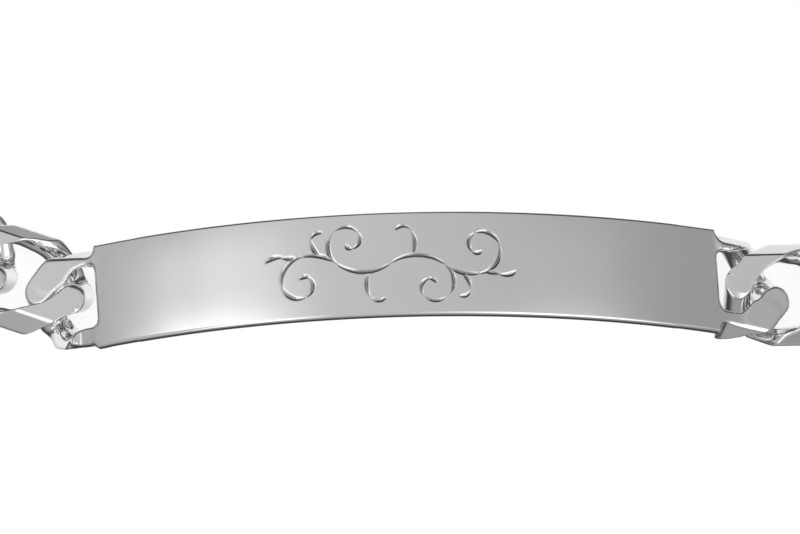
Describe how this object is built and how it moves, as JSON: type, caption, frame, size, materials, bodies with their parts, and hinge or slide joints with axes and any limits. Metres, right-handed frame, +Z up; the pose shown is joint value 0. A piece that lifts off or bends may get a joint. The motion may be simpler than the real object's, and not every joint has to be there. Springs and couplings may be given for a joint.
{
  "type": "identity bracelet",
  "caption": "Closed metal bracelet with an arched name plate that bears engraved scrolls, a flat curb chain and a plain box clasp.",
  "frame": {"origin": "middle of the rectangle that the closed bracelet covers, on the surface that it lies on", "axes": "+X along the name plate, to the right as its face is read, +Y from the plate to the clasp, +Z up out of the plate's face"},
  "size_m": [0.095, 0.0494, 0.0108],
  "materials": {
    "plate": "polished silver with fine wear scratches and engraved scrolls",
    "chain": "polished silver, faces cut flat",
    "clasp": "polished silver"
  },
  "bodies": {
    "root": {"id_plate": "plate", "left_link_1": "chain", "left_link_2": "chain", "left_link_3": "chain", "left_link_4": "chain", "left_link_5": "chain", "left_link_6": "chain", "left_link_7": "chain", "left_link_8": "chain", "left_link_9": "chain", "left_link_10": "chain", "left_link_11": "chain", "right_link_1": "chain", "right_link_2": "chain", "right_link_3": "chain", "right_link_4": "chain", "right_link_5": "chain", "right_link_6": "chain", "right_link_7": "chain", "right_link_8": "chain", "right_link_9": "chain", "right_link_10": "chain", "right_link_11": "chain", "right_link_12": "chain", "clasp": "clasp"}
  },
  "joints": []
}
